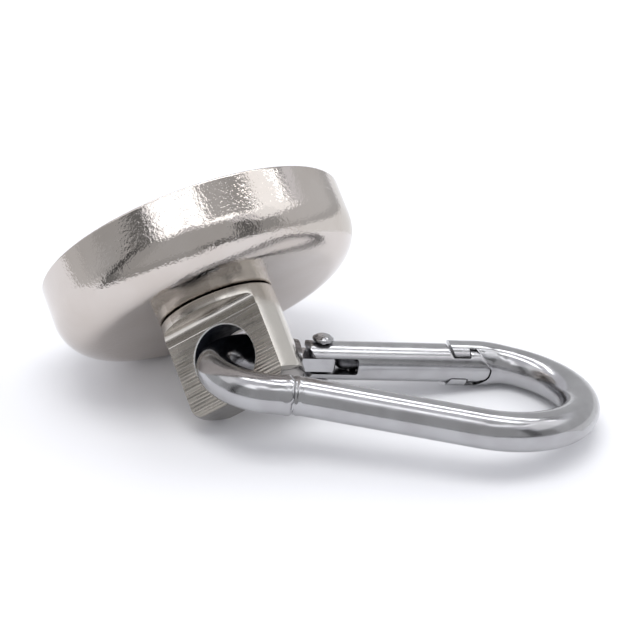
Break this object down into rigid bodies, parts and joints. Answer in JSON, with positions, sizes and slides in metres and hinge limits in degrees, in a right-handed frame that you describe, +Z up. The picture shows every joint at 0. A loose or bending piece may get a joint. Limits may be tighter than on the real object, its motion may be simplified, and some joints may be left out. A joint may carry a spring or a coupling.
{
  "type": "magnet fishing magnet",
  "caption": "Round pot magnet with a swivelling, cross-drilled eye block and a pear-shaped spring-gate snap hook through its hole, lying on a table.",
  "frame": {"origin": "on the table, under the middle of the object's bounding box", "axes": "+Z up, +X along the snap hook's long axis in plan, from its narrow end towards its wide end"},
  "size_m": [0.0806, 0.0592, 0.0419],
  "materials": {
    "nickel_plate": "bright nickel plate, polished",
    "milled_nickel": "milled, thinly nickel plated, satin",
    "stainless": "satin stainless wire",
    "magnet_face": "plain nickel plate",
    "resin": "matte dark potting resin",
    "bronze": "plain",
    "spring_steel": "plain"
  },
  "bodies": {
    "pot": {"cup": "nickel_plate", "magnet_disc": "magnet_face", "potting_ring": "resin", "thrust_washer": "bronze", "inner_washer": "bronze"},
    "block": {"swivel_block": "milled_nickel", "retaining_clip": "spring_steel"},
    "hook": {"hook_body": "stainless", "gate_rivet": "stainless"},
    "gate_arm": {"gate": "stainless", "gate_spring": "spring_steel"},
    "plunger": {"gate_plunger": "stainless"}
  },
  "joints": [
    {"name": "block_swivel", "type": "hinge", "parent": "pot", "child": "block", "pos_m": [-0.01452, 0.00494, 0.01596], "axis": [0.195, -0.7431, -0.6401], "continuous": true},
    {"name": "hook_swing", "type": "hinge", "parent": "block", "child": "hook", "pos_m": [-0.01279, -0.00164, 0.0103], "axis": [-0.5993, -0.6069, 0.522], "range_deg": [-140, 44]},
    {"name": "gate_hinge", "type": "hinge", "parent": "hook", "child": "gate_arm", "pos_m": [0.0004, -0.00063, 0.00792], "axis": [-0.1572, -0.1495, -0.9762], "range_deg": [0, 28], "stiffness_Nm_per_rad": 0.15, "springref_deg": -28.65},
    {"name": "plunger_slide", "type": "slide", "parent": "gate_arm", "child": "plunger", "axis": [0.9873, 0, -0.159], "range_m": [0, 0.0005], "deforming": ["gate_spring"]}
  ],
  "couplings": [
    {"joint": "plunger_slide", "follows": "gate_hinge", "m_per_rad": 0.001}
  ]
}
